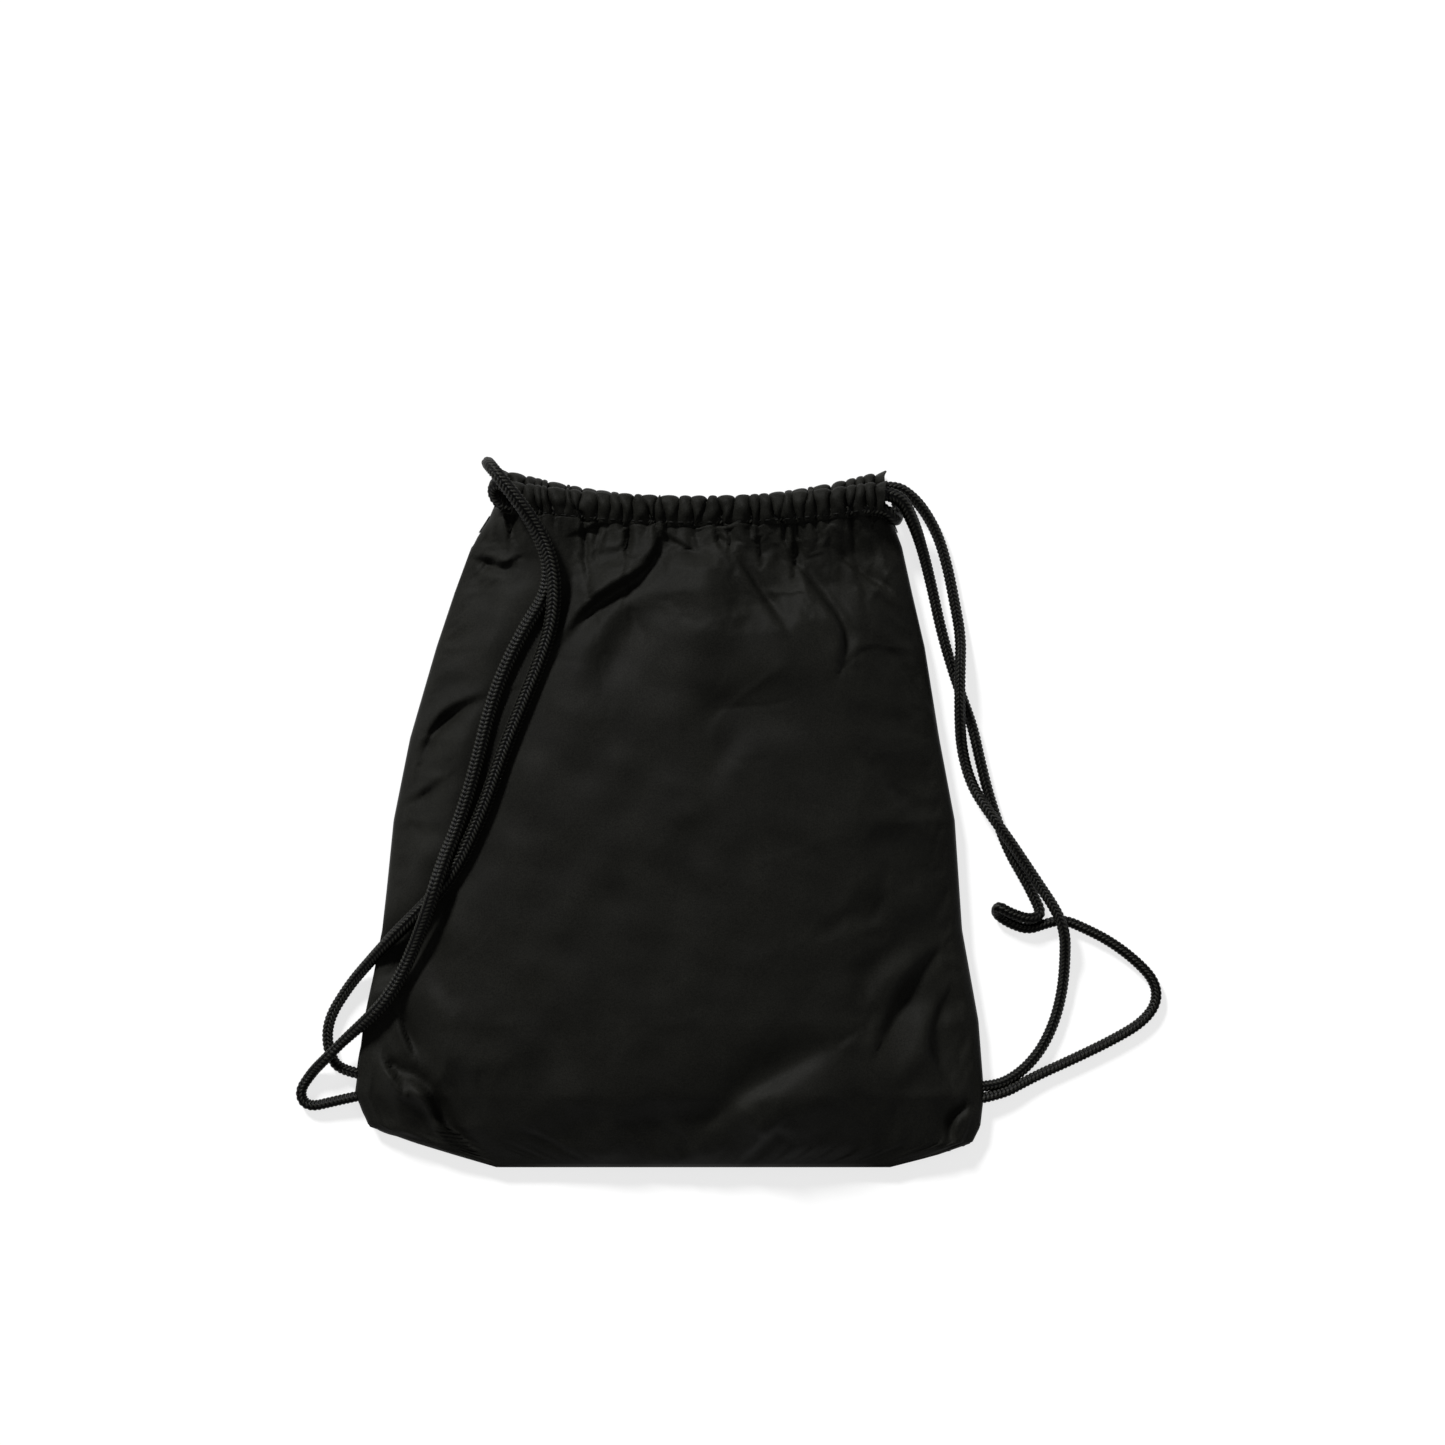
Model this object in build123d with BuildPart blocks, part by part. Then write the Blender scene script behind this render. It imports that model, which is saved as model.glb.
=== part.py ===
"""Drawstring backpack lying on its back: two sewn panels, two gathered casings and two braided cords.

Frame: +Z up, +Y towards the mouth, +X to the right; the bag lies on z = 0 with its plan centred on the origin.
Each cord starts and ends in its own side seam. It runs up to the mouth, through one casing, round the far end of
the mouth, back through the other casing and down again, so that pulling both cords closes the mouth.
"""
import math
import os

from build123d import *

# ---- driving dimensions, mm ----
WALL = 1.2                    # panel thickness: the cloth with its loft and lining of air
BOTTOM_Y = -190.4             # the bottom seam
SEAM_Z = 8.0                  # height of the side and bottom seams above the floor
SEAM_GAP = 0.3                # play between the lifting front lip and what stays
HINGE_Y = 75.0                # where the front folds when the mouth is opened
CORD_D = 6.5
CORD_HOLE_D = CORD_D + 0.7    # opening left in a side seam for each cord end
CASING_LEFT = -87.0           # the gathered casings run between these ends
CASING_RIGHT = 115.0
CASING_WALL = 0.7
CASING_ROUND = 2.5            # corners of a casing's cross-section
CASING_DEPTH = 16.8           # across the casing, from its rim to its stitched edge
RIM_MIDDLE_Y = 168.2          # centre line of both casings at the middle of the mouth
BACK_CASING_Z = 7.8
BACK_CASING_HEIGHT = 15.2     # holds two cords one above the other
BACK_CASING_RISE = 14.1       # how far the ends stand above the middle
FRONT_CASING_Z = 25.85
FRONT_CASING_HEIGHT = 8.9     # holds two cords side by side
FRONT_CASING_RISE = 8.0
BINDING_WIDTH = 9.0           # seam allowance turned inside the bag
BINDING_THICKNESS = 1.5
BINDING_INSET = WALL + 0.2    # from the bag's outline to the outer edge of the binding
BINDING_Z = 6.3               # its underside, so that it ends just under the seam plane
SIDE_SEAM_START = -179.0      # the side bindings run between these, clear of the bottom one
SIDE_SEAM_END = 160.0
SEAM_WAY_LENGTH = 22.0        # of the way cut for a cord end, from the end itself out through the seam
STITCH = 0.6                  # how far a sewing stitch stands on the cloth
STITCH_LENGTH = 3.2
STITCH_WIDTH = 1.0
STITCH_PITCH = 5.0
STITCH_INSET = 3.0            # from the casing's edge to its row of stitches
ANCHOR_TACK_X = 161.0         # the cords' ends are tacked down here
TACK_PITCH = 2.0
TACK_LENGTH = 9.0             # bar tacks at the upper ends of the side seams
TACK_HEIGHT = 3.0
MOUTH_TACK_Y = 158.0

# Slices of the bag across its length: y, left edge, right edge, crown height
SLICES = [
    (BOTTOM_Y, -95.0, 121.0, 13.0),
    (-184.0, -117.0, 146.0, 20.0),
    (-177.0, -140.0, 166.0, 25.0),
    (-168.0, -165.0, 170.5, 29.0),
    (-150.0, -172.8, 172.6, 34.0),
    (-110.0, -167.5, 169.5, 40.0),
    (-60.0, -157.5, 160.5, 43.0),
    (0.0, -151.5, 156.5, 44.0),
    (45.0, -142.5, 148.0, 43.0),
    (95.0, -128.0, 140.0, 39.0),
    (125.0, -118.0, 133.0, 35.0),
    (150.0, -108.8, 127.5, 30.0),
    (166.0, -99.0, 121.5, 27.0),
    (192.0, -88.0, 112.0, 26.5),
]
ARCH = [-0.95, -0.8, -0.5, 0.0, 0.5, 0.8, 0.95]   # where the crown of a slice is drawn, as shares of half its width
ARCH_POWER = 0.6
UNDERSIDE_ROUND = 6.0         # where the underside turns up to the seams

# ---- cord routes: the corners of each cord's path; a cut falls at the middle of the run after the named point ----
LEFT_CORD = [
    (-158, -140.5, 8), (-180, -139, 5.5), (-188, -127, 3.6), (-188, -110, 3.6), (-177, -92, 3.6), (-166, -79, 9),
    (-152, -64.5, 22), (-137, -50, 28.5), (-124, -36.5, 32.5), (-114, -22, 34.8), (-105.5, -4, 36.5),
    (-99, 12, 38), (-92.5, 31, 38.8), (-85, 51, 38.8),
    (-66.5, 96, 38), (-62, 119, 38.5), (-63.5, 141, 38.5), (-71.5, 160, 38.5), (-84, 177, 44), (-99, 195.5, 38),
    (-99.3, 195.3, 5), (-88, 183, 4.3), (-66, 176.8, 4.3), (-28, 170.2, 4.3), (10, 167.9, 4.3), (50, 169.6, 4.3),
    (95, 177.2, 4.3), (121, 184.5, 4.3), (128, 176.5, 4.3), (128, 165.5, 8),
    (125, 164.5, 21), (120.5, 173.3, 25.85), (95, 169.7, 25.85), (55, 165.5, 25.85), (14, 164.4, 25.85),
    (-27, 165.7, 25.85), (-64, 169.2, 25.85), (-88, 172.3, 25.85), (-98, 175.5, 26.2),
    (-105.5, 181.5, 30.5), (-102.5, 183.5, 43.5), (-88, 171, 38.5), (-72, 152, 29.5), (-66.5, 131, 32.3),
    (-73, 111.5, 34.8), (-87, 92, 34.8),
    (-98, 55, 34.8), (-104, 34, 35.2), (-109.5, 14, 35), (-116, -5, 34.5), (-122.5, -21, 37), (-127, -35, 40.2),
    (-131, -48, 37.2), (-138, -66, 29), (-145.5, -83, 26), (-155, -98.5, 24.5), (-166, -109.5, 19.5),
    (-178.5, -120.5, 13.5), (-189.5, -131.5, 11), (-196.5, -138.5, 4.5), (-204, -149.5, 3.6), (-199, -158, 3.6),
    (-183, -154, 5), (-158, -148.5, 8),
]
LEFT_CORD_CUTS = [13, 19, 29, 45]
RIGHT_CORD = [
    (158, -146.5, 8), (179, -145.5, 5.5), (195, -136, 3.6), (208, -121, 3.6), (215.5, -101, 3.6),
    (220, -81, 4.5), (219.5, -63, 11.2), (214, -46, 11.2), (204.5, -32.5, 5), (195, -21, 5.5),
    (185, -10.5, 11.2), (175.5, 2.5, 11.2), (165.5, 18.5, 5), (160.5, 38, 4.5), (159.2, 57, 11.2),
    (159.2, 82, 11.4), (160.5, 101, 4.2), (157.3, 121, 3.6), (153.5, 141, 3.6), (147.5, 160.5, 4.4),
    (136, 177, 9.5), (121.5, 185, 11.2), (88, 175.4, 11.2), (50, 169.6, 11.2), (10, 167.9, 11.2),
    (-30, 170.5, 11.2), (-68, 177.3, 11.2), (-94, 184.9, 11.2),
    (-94, 181.7, 25.85), (-68, 176.7, 25.85), (-28, 172.9, 25.85), (12, 171.6, 25.85), (50, 172.5, 25.85),
    (86, 175.6, 25.85), (124, 180.8, 25.5),
    (133.5, 163.5, 19), (140, 144.5, 8), (145.2, 124.5, 3.6), (149.5, 105, 3.6), (154, 87, 3.6),
    (160, 69, 3.6), (166.5, 51.5, 3.6), (170.5, 33, 3.6), (175, 15, 3.6), (181, -3, 3.6), (186.5, -22, 3.6),
    (194, -38, 5.5), (202.5, -44.5, 10), (204, -54.5, 12), (195.5, -58.5, 14.5), (180.5, -49.5, 17),
    (180.5, -50.5, 3.6), (193.5, -59.5, 3.6), (205, -57.5, 3.6), (216.5, -54, 3.6), (234, -59, 3.6),
    (251, -69, 3.6), (264.5, -79.5, 3.6), (270, -93, 3.6), (262.5, -107, 3.6), (246, -117.5, 3.6),
    (222, -129, 3.6), (198, -142.5, 3.6), (180, -153, 5.5), (158, -154.5, 8),
]
RIGHT_CORD_CUTS = [27, 34]


def corner_radii(route):
    """Arc radius at each inner corner: 0.45 of the shorter run, over the tangent of half the turn."""
    radii = []
    for before, corner, after in zip(route, route[1:], route[2:]):
        arriving = Vector(*corner) - Vector(*before)
        leaving = Vector(*after) - Vector(*corner)
        half_turn = math.radians(arriving.get_angle(leaving)) / 2
        radii.append(0.45 * min(arriving.length, leaving.length) / math.tan(half_turn))
    return radii


def cord_stretch(name, route, first, last):
    """Tube along the route from the cut after point first - 1 to the cut after point last, where there are cuts."""
    radii = corner_radii(route)
    points = [Vector(*p) for p in route]
    path_points = points[first:last + 1]
    path_radii = radii[max(first - 1, 0):last]
    if first > 0:
        path_points.insert(0, (points[first - 1] + points[first]) / 2)
    if last < len(route) - 1:
        path_points.append((points[last] + points[last + 1]) / 2)
    path_radii = path_radii[:len(path_points) - 2]
    with BuildPart() as tube:
        with BuildLine() as path:
            FilletPolyline(*path_points, radius=path_radii)
        with BuildSketch(Plane(origin=path.line @ 0, z_dir=path.line % 0)):
            Circle(CORD_D / 2)
        sweep()
    length = sum(edge.length for edge in path.edges())
    expected = math.pi * (CORD_D / 2) ** 2 * length
    print(f"{name}: length {length:.1f}, smallest radius {min(path_radii):.1f}, "
          f"volume {tube.part.volume / expected:.4f} of section x length")
    return tube.part


def crown_form(inset, overrun=0.0):
    """Upper half of the closed bag, drawn inwards by inset; overrun carries it down past the seam plane."""
    with BuildPart() as form:
        for y, left, right, crown in SLICES:
            half = (right - left) / 2 - inset
            rise = crown - SEAM_Z - inset
            arch = [(half * share, rise * (1 - share ** 2) ** ARCH_POWER) for share in ARCH]
            y_here = y + inset if y == BOTTOM_Y else y
            with BuildSketch(Plane(origin=((left + right) / 2, y_here, SEAM_Z), x_dir=(1, 0, 0), z_dir=(0, -1, 0))):
                with BuildLine():
                    Spline((-half, 0), *arch, (half, 0), tangents=[(0, 1), (0, -1)], tangent_scalars=[0.6, 0.6])
                    Polyline((half, 0), (half, -overrun), (-half, -overrun), (-half, 0)) if overrun else Line(
                        (half, 0), (-half, 0)
                    )
                make_face()
        loft()
    return form.part


def moved_in(points, inward, inset):
    """Points of an edge that runs up the bag, moved square to it towards the inside; inward is 1 or -1 along X."""
    moved = []
    for index, (x, y) in enumerate(points):
        below = Vector(*points[max(index - 1, 0)])
        above = Vector(*points[min(index + 1, len(points) - 1)])
        along = (above - below).normalized()
        moved.append((x + inward * along.Y * inset, y - inward * along.X * inset))
    moved[0] = (moved[0][0], points[0][1] + inset)
    return moved


def seam_outline(inset=0.0):
    """Plan of the bag along its seams, open cloth at the mouth end included, drawn inwards by inset."""
    left_points = moved_in([(left, y) for y, left, right, crown in SLICES], 1, inset)
    right_points = moved_in([(right, y) for y, left, right, crown in SLICES], -1, inset)
    with BuildSketch() as outline:
        with BuildLine():
            left_edge = Spline(*left_points)
            right_edge = Spline(*right_points)
            Line(left_edge @ 0, right_edge @ 0)
            Line(left_edge @ 1, right_edge @ 1)
        make_face()
    return outline.sketch


def tray_form(inset):
    """Lower half of the closed bag: the seam outline down to the floor, with a rounded lower edge."""
    with BuildPart() as form:
        with BuildSketch(Plane.XY.offset(inset)):
            add(seam_outline(inset))
        extrude(amount=SEAM_Z)
        lower_edges = form.faces().sort_by(Axis.Z)[0].edges()
        fillet(lower_edges.sort_by(Axis.Y)[:-1], UNDERSIDE_ROUND)
    return form.part


def seam_band(low_z, high_z, outer_inset, inner_inset):
    """A band that follows the seams, between two insets from the bag's outline."""
    with BuildPart() as band:
        with BuildSketch(Plane.XY.offset(low_z)):
            add(seam_outline(outer_inset))
            add(seam_outline(inner_inset), mode=Mode.SUBTRACT)
        extrude(amount=high_z - low_z)
    return band.part


def casing_centre(rise):
    """Centre and radius of the arc that a casing's middle line follows, seen from above."""
    half_span = (CASING_RIGHT - CASING_LEFT) / 2
    radius = (half_span ** 2 + rise ** 2) / (2 * rise)
    return ((CASING_LEFT + CASING_RIGHT) / 2, RIM_MIDDLE_Y + radius), radius


def casing_half_angle(rise):
    """Half of the angle that a casing's arc spans, in degrees."""
    return math.degrees(math.asin((CASING_RIGHT - CASING_LEFT) / 2 / casing_centre(rise)[1]))


def above_casing_edge(rise):
    """Everything on the rim's side of a casing's stitched edge: what a panel is trimmed with."""
    centre, radius = casing_centre(rise)
    with BuildPart() as beyond:
        with BuildSketch():
            with Locations(centre):
                Circle(radius + CASING_DEPTH / 2)
        extrude(amount=80)
    return beyond.part


def casing_tube(rise, z, height):
    """A hollow casing with open ends, swept along its arc."""
    centre, radius = casing_centre(rise)
    half_angle = casing_half_angle(rise)
    with BuildPart() as tube:
        with BuildLine(Plane.XY.offset(z)) as path:
            CenterArc(centre, radius, 270 - half_angle, 2 * half_angle)
        with BuildSketch(Plane(origin=path.line @ 0, x_dir=(0, 0, 1), z_dir=path.line % 0)):
            RectangleRounded(height, CASING_DEPTH, CASING_ROUND)
            RectangleRounded(height - 2 * CASING_WALL, CASING_DEPTH - 2 * CASING_WALL, CASING_ROUND - CASING_WALL,
                             mode=Mode.SUBTRACT)
        sweep()
    return tube.part


def casing_stitches(rise, top):
    """Straight stitches standing on a casing's upper face, along its stitched edge."""
    centre, radius = casing_centre(rise)
    half_angle = casing_half_angle(rise) - 1
    row_radius = radius + CASING_DEPTH / 2 - STITCH_INSET
    count = int(2 * math.radians(half_angle) * row_radius / STITCH_PITCH)
    with BuildPart() as row:
        with BuildSketch(Plane.XY.offset(top)):
            with Locations(centre):
                with PolarLocations(row_radius, count, 270 - half_angle, 2 * half_angle, endpoint=True):
                    SlotOverall(STITCH_LENGTH, STITCH_WIDTH, rotation=90)
        extrude(amount=STITCH)
    return row.part


def seam_way(cord_end, next_point):
    """Round way through a side seam, along a cord's end run."""
    with BuildPart() as way:
        with BuildSketch(Plane(origin=cord_end, z_dir=Vector(*next_point) - Vector(*cord_end))):
            Circle(CORD_HOLE_D / 2)
        extrude(amount=SEAM_WAY_LENGTH)
    return way.part


def slab(low, high):
    """A plain block between two corners, for cutting."""
    size = [h - l for l, h in zip(low, high)]
    with BuildPart() as block:
        with Locations(low):
            Box(*size, align=(Align.MIN, Align.MIN, Align.MIN))
    return block.part


def anchor_tack(x, ys):
    """Bars of thread that hold a cord's two ends down on the seam, inside the bag."""
    with BuildPart() as tack:
        with BuildSketch(Plane.XY.offset(SEAM_Z + CORD_D / 2)):
            with Locations((x, sum(ys) / 2)):
                with GridLocations(TACK_PITCH, 0, 3, 1):
                    SlotOverall(abs(ys[0] - ys[1]) + CORD_D, STITCH_WIDTH, rotation=90)
        extrude(amount=STITCH)
    return tack.part


left_ends_y = [LEFT_CORD[0][1], LEFT_CORD[-1][1]]
right_ends_y = [RIGHT_CORD[0][1], RIGHT_CORD[-1][1]]
seam_way_cuts = [
    seam_way(LEFT_CORD[0], LEFT_CORD[1]), seam_way(LEFT_CORD[-1], LEFT_CORD[-2]),
    seam_way(RIGHT_CORD[0], RIGHT_CORD[1]), seam_way(RIGHT_CORD[-1], RIGHT_CORD[-2]),
]
crown = crown_form(0) - crown_form(WALL, overrun=2)
above_hinge = slab((-200, HINGE_Y, 0), (200, 220, 60))
below_hinge = slab((-200, -210, 0), (200, HINGE_Y + SEAM_GAP, 60))
below_lip = slab((-200, HINGE_Y, 0), (200, 220, SEAM_Z + SEAM_GAP))
past_bottom = slab((-200, -210, 0), (200, BOTTOM_Y, 60))

# ---- panels: two pieces of cloth sewn together along the sides and the bottom ----
with BuildPart() as back_panel:
    add(tray_form(0))
    add(tray_form(WALL), mode=Mode.SUBTRACT)
    add(above_casing_edge(BACK_CASING_RISE), mode=Mode.SUBTRACT)
    add(seam_way_cuts, mode=Mode.SUBTRACT)
back_panel.part.label = "back_panel"

with BuildPart() as front_panel:
    add(crown)
    add(past_bottom, mode=Mode.SUBTRACT)
    add(above_hinge, mode=Mode.SUBTRACT)
    add(seam_way_cuts, mode=Mode.SUBTRACT)
front_panel.part.label = "front_panel"

with BuildPart() as front_lip:
    add(crown)
    add(below_hinge, mode=Mode.SUBTRACT)
    add(below_lip, mode=Mode.SUBTRACT)
    add(above_casing_edge(FRONT_CASING_RISE), mode=Mode.SUBTRACT)
front_lip.part.label = "front_lip"

# ---- casings: the turned hems that the cords run in, and their stitching ----
with BuildPart() as back_casing:
    add(casing_tube(BACK_CASING_RISE, BACK_CASING_Z, BACK_CASING_HEIGHT))
back_casing.part.label = "back_casing"

with BuildPart() as front_casing:
    add(casing_tube(FRONT_CASING_RISE, FRONT_CASING_Z, FRONT_CASING_HEIGHT))
front_casing.part.label = "front_casing"

with BuildPart() as back_casing_stitching:
    add(casing_stitches(BACK_CASING_RISE, BACK_CASING_Z + BACK_CASING_HEIGHT / 2))
back_casing_stitching.part.label = "back_casing_stitching"

with BuildPart() as front_casing_stitching:
    add(casing_stitches(FRONT_CASING_RISE, FRONT_CASING_Z + FRONT_CASING_HEIGHT / 2))
front_casing_stitching.part.label = "front_casing_stitching"

# ---- seams: the bound seam allowance that stands inside the bag ----
side_binding = seam_band(BINDING_Z, BINDING_Z + BINDING_THICKNESS, BINDING_INSET, BINDING_INSET + BINDING_WIDTH)

with BuildPart() as left_side_seam:
    add(side_binding)
    add(slab((-200, SIDE_SEAM_START, 0), (0, SIDE_SEAM_END, 60)), mode=Mode.INTERSECT)
    add(seam_way_cuts[:2], mode=Mode.SUBTRACT)
left_side_seam.part.label = "left_side_seam"

with BuildPart() as right_side_seam:
    add(side_binding)
    add(slab((0, SIDE_SEAM_START, 0), (200, SIDE_SEAM_END, 60)), mode=Mode.INTERSECT)
    add(seam_way_cuts[2:], mode=Mode.SUBTRACT)
right_side_seam.part.label = "right_side_seam"

with BuildPart() as bottom_seam:
    with BuildSketch(Plane.XY.offset(BINDING_Z)):
        add(seam_outline(BINDING_INSET))
    extrude(amount=BINDING_THICKNESS)
    add(slab((-200, -210, 0), (200, BOTTOM_Y + BINDING_WIDTH, 60)), mode=Mode.INTERSECT)
bottom_seam.part.label = "bottom_seam"

# ---- tacks: dense stitching where the bag is pulled hardest ----
with BuildPart() as left_anchor_tack:
    add(anchor_tack(-ANCHOR_TACK_X, left_ends_y))
left_anchor_tack.part.label = "left_anchor_tack"

with BuildPart() as right_anchor_tack:
    add(anchor_tack(ANCHOR_TACK_X, right_ends_y))
right_anchor_tack.part.label = "right_anchor_tack"

with BuildPart() as mouth_tacks:
    add(seam_band(SEAM_Z - TACK_HEIGHT, SEAM_Z, -STITCH, 0))
    add(slab((-200, MOUTH_TACK_Y, 0), (200, MOUTH_TACK_Y + TACK_LENGTH, 60)), mode=Mode.INTERSECT)
mouth_tacks.part.label = "mouth_tacks"

# ---- cords ----
with BuildPart() as left_cord_front_lower:
    add(cord_stretch("left_cord_front_lower", LEFT_CORD, 0, LEFT_CORD_CUTS[0]))
left_cord_front_lower.part.label = "left_cord_front_lower"

with BuildPart() as left_cord_front_upper:
    add(cord_stretch("left_cord_front_upper", LEFT_CORD, LEFT_CORD_CUTS[0] + 1, LEFT_CORD_CUTS[1]))
left_cord_front_upper.part.label = "left_cord_front_upper"

with BuildPart() as left_cord_back_run:
    add(cord_stretch("left_cord_back_run", LEFT_CORD, LEFT_CORD_CUTS[1] + 1, LEFT_CORD_CUTS[2]))
left_cord_back_run.part.label = "left_cord_back_run"

with BuildPart() as left_cord_front_run:
    add(cord_stretch("left_cord_front_run", LEFT_CORD, LEFT_CORD_CUTS[2] + 1, LEFT_CORD_CUTS[3]))
left_cord_front_run.part.label = "left_cord_front_run"

with BuildPart() as left_cord_side_lower:
    add(cord_stretch("left_cord_side_lower", LEFT_CORD, LEFT_CORD_CUTS[3] + 1, len(LEFT_CORD) - 1))
left_cord_side_lower.part.label = "left_cord_side_lower"

with BuildPart() as right_cord_outer_strand:
    add(cord_stretch("right_cord_outer_strand", RIGHT_CORD, 0, RIGHT_CORD_CUTS[0]))
right_cord_outer_strand.part.label = "right_cord_outer_strand"

with BuildPart() as right_cord_front_run:
    add(cord_stretch("right_cord_front_run", RIGHT_CORD, RIGHT_CORD_CUTS[0] + 1, RIGHT_CORD_CUTS[1]))
right_cord_front_run.part.label = "right_cord_front_run"

with BuildPart() as right_cord_inner_strand:
    add(cord_stretch("right_cord_inner_strand", RIGHT_CORD, RIGHT_CORD_CUTS[1] + 1, len(RIGHT_CORD) - 1))
right_cord_inner_strand.part.label = "right_cord_inner_strand"

pieces = [
    back_panel, front_panel, front_lip, back_casing, front_casing, back_casing_stitching, front_casing_stitching,
    left_side_seam, right_side_seam, bottom_seam, left_anchor_tack, right_anchor_tack, mouth_tacks,
    left_cord_front_lower, left_cord_front_upper, left_cord_back_run, left_cord_front_run, left_cord_side_lower,
    right_cord_outer_strand, right_cord_front_run, right_cord_inner_strand,
]
os.makedirs("parts", exist_ok=True)
for piece in pieces:
    export_step(piece.part, f"parts/{piece.part.label}.step")
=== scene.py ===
"""Drawstring backpack lying on its back: cloth panels, gathered casings, braided cords, light and camera.

Everything is in metres in the frame of the CAD model: +Z up, +Y towards the mouth, the bag lying on z = 0.
The camera and the cords come first, then the panels, the casings, the stitching, the materials and the light.
"""
import math

import bpy
import numpy as np
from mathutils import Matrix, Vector


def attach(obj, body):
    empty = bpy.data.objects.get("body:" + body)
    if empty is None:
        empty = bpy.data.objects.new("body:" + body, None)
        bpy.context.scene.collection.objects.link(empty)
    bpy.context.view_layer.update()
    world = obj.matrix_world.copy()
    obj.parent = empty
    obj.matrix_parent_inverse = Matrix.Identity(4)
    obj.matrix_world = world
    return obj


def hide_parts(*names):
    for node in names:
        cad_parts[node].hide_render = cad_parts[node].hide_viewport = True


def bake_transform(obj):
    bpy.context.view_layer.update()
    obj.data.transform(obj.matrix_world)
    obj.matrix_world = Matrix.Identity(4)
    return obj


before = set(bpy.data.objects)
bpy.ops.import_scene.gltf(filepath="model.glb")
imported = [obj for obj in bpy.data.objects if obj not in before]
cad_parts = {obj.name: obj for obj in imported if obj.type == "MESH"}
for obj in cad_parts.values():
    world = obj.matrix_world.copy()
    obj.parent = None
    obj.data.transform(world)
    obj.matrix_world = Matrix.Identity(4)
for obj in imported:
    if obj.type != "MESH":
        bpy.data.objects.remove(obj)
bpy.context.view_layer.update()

# ---- sizes of the bag ----
CLOTH = 0.0004                # thickness of the cloth
SEAM_Z = 0.008                # the side and bottom seams run at this height
BOTTOM_Y = -0.1904
ARCH_POWER = 0.6              # how square-shouldered the puffed front is
BOTTOM_TURN = 0.012           # the front turns down to the bottom seam over this length
TOP_TURN = 0.026              # and it comes to the height of its casing over this one
EDGE_TURN = 0.010             # the back turns up to the seams over this length
FLOOR_GAP = 0.0006            # the least gap between the back and the floor

CASING_MIDDLE_X = 0.014       # both gathered casings are arcs about this line
CASING_HALF_SPAN = 0.101
RIM_MIDDLE_Y = 0.1682
CASING_DEPTH = 0.0168
CASING_POWER = 2.7            # how square a casing's section is: 2 would be an ellipse
OVER_CASING = 0.0022          # how far the front panel laps over its casing's lower edge
UNDER_CASING = 0.004          # how far the back panel reaches under its own
TUCK = 0.0010                 # the lapped edge of the front panel is turned down by this
# Of each casing: the rise of its arc, the z of its middle line, its height, and the lowest that it may reach
FRONT_CASING = {"rise": 0.008, "middle_z": 0.02585, "height": 0.0089, "low_z": 0.0}
BACK_CASING = {"rise": 0.0141, "middle_z": 0.0078, "height": 0.0152, "low_z": 0.0003}
LEFT_END, RIGHT_END = 0.004, 0.002                 # how far the sleeves reach past the span
RAGGED_LENGTH = 0.010                              # length of their ragged ends
# The casing's stitched edge is a little uneven: height, rate along x and phase of its waves
EDGE_WAVES = [(0.0008, 210, 1.3), (0.0007, 410, 4.0), (0.0005, 730, 0.0)]

# ---- thread that closes a casing ----
STITCH_COUNT = 38
STITCH_INSET = 0.003          # from the casing's stitched edge
STITCH_HALF_LENGTH = 0.0016
STITCH_TIP = 0.00175          # half length at which a stitch would come to a point
STITCH_RADIUS = 0.00045
STITCH_LIFT = 0.0002          # of its middle over the cloth
STITCH_SIDES, STITCH_RINGS = 8, 7

# Slices of the bag across its length, close to the CAD model's: y, left edge, right edge, height of the front
SLICES = [
    (-0.1904, -0.095, 0.121, 0.0115), (-0.184, -0.117, 0.146, 0.0165), (-0.177, -0.140, 0.166, 0.0215),
    (-0.168, -0.165, 0.1705, 0.0268), (-0.150, -0.1728, 0.1726, 0.0335), (-0.110, -0.1675, 0.1695, 0.040),
    (-0.060, -0.1575, 0.1605, 0.043), (0.000, -0.1515, 0.1565, 0.044), (0.045, -0.1425, 0.148, 0.043),
    (0.095, -0.128, 0.140, 0.039), (0.125, -0.118, 0.133, 0.035), (0.150, -0.1088, 0.1275, 0.030),
    (0.166, -0.099, 0.1215, 0.027), (0.192, -0.088, 0.112, 0.0265),
]

# ---- cords: each is one braided cord from its side seam, through one casing and back through the other ----
CORD_D = 0.0065
BRAID_COLUMNS = 6             # columns of stitches round the cord, leaning left and right by turns
BRAID_PITCH = 0.0023
BRAID_LEAN = 1.05             # how far a stitch climbs across its column, in pitches
BRAID_DEPTH = 0.0011
BRAID_DEPTH_LOST = 0.7        # share of that depth that is lost where the cord runs straight up or down
STITCH_POWER = 0.9            # how rounded a stitch is along the cord,
SHOULDER_POWER = 0.6          # and across its column
CORD_RADIUS = 0.00355         # to the backs of the stitches
PRESSED_WIDER = 0.18          # the strands that lie on the bag are pressed a little flat,
LOOSE_WIDER = -0.10           # and the ones that lie beside it stand a little on edge
PRESSED_ABOVE = 0.018
PRESSED_FADE = 30             # rings over which one section fades into the other, each way
RING_STEP = 0.00048
RING_POINTS = 32
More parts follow.
